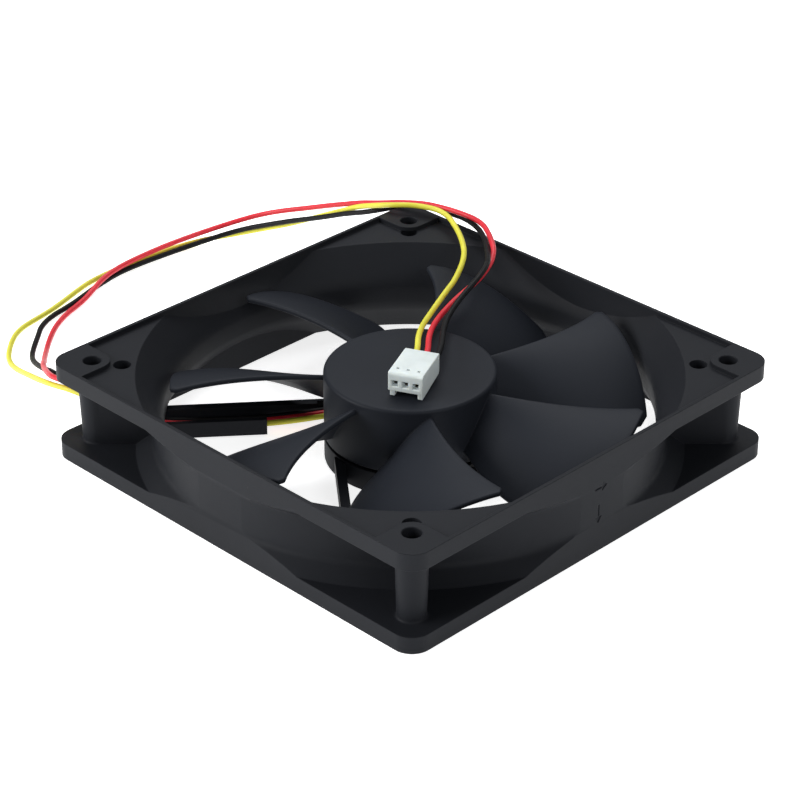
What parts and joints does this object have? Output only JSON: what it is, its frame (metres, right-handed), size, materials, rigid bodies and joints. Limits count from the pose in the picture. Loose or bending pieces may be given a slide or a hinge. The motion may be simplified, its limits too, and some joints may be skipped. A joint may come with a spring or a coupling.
{
  "type": "case fan",
  "caption": "Square axial case fan in matte black: open-corner frame with a round duct, swept-blade rotor on a hub motor, and coloured leads ending in a flat plug housing",
  "frame": {"origin": "centre of the square frame's bottom face, the outlet side, on which it lies", "axes": "+Z along the rotor's axis, from the outlet side to the intake side; X and Y along the frame's sides, with the leads leaving at the -X -Y corner"},
  "size_m": [0.1826, 0.1232, 0.0292],
  "materials": {
    "frame_plastic": "fine moulded satin black",
    "rotor_plastic": "fine moulded satin black",
    "yoke_steel": "plated",
    "magnet_ferrite": "bonded ferrite, matte",
    "shaft_steel": "ground",
    "washer_nylon": "plain",
    "clip_nylon": "plain",
    "bearing_bronze": "sintered bronze",
    "core_steel": "laminated sheet",
    "insulator_plastic": "plain",
    "coil_copper": "enamelled copper wire",
    "board_laminate": "green solder mask",
    "chip_plastic": "moulded epoxy",
    "capacitor_ceramic": "ceramic",
    "plug_rubber": "matte",
    "label_film": "plain film",
    "connector_nylon": "natural nylon, slightly translucent",
    "terminal_tin": "tinned",
    "lead_yellow": "PVC insulation",
    "lead_red": "PVC insulation",
    "lead_black": "PVC insulation"
  },
  "bodies": {
    "frame": {"frame": "frame_plastic", "bearing_sleeve": "bearing_bronze", "stator_core": "core_steel", "lower_insulator": "insulator_plastic", "upper_insulator": "insulator_plastic", "stator_coil_1": "coil_copper", "stator_coil_2": "coil_copper", "stator_coil_3": "coil_copper", "stator_coil_4": "coil_copper", "circuit_board": "board_laminate", "hall_driver_chip": "chip_plastic", "capacitor": "capacitor_ceramic", "bearing_plug": "plug_rubber", "back_label": "label_film", "connector_housing": "connector_nylon", "terminal_yellow": "terminal_tin", "terminal_red": "terminal_tin", "terminal_black": "terminal_tin", "lead_yellow": "lead_yellow", "lead_red": "lead_red", "lead_black": "lead_black"},
    "rotor": {"impeller": "rotor_plastic", "rotor_yoke": "yoke_steel", "magnet_ring": "magnet_ferrite", "shaft": "shaft_steel", "thrust_washer": "washer_nylon", "retaining_clip": "clip_nylon"}
  },
  "joints": [
    {"name": "rotor_spin", "type": "hinge", "parent": "frame", "child": "rotor", "pos_m": [0, 0, 0.0125], "axis": [0, 0, 1], "continuous": true}
  ]
}
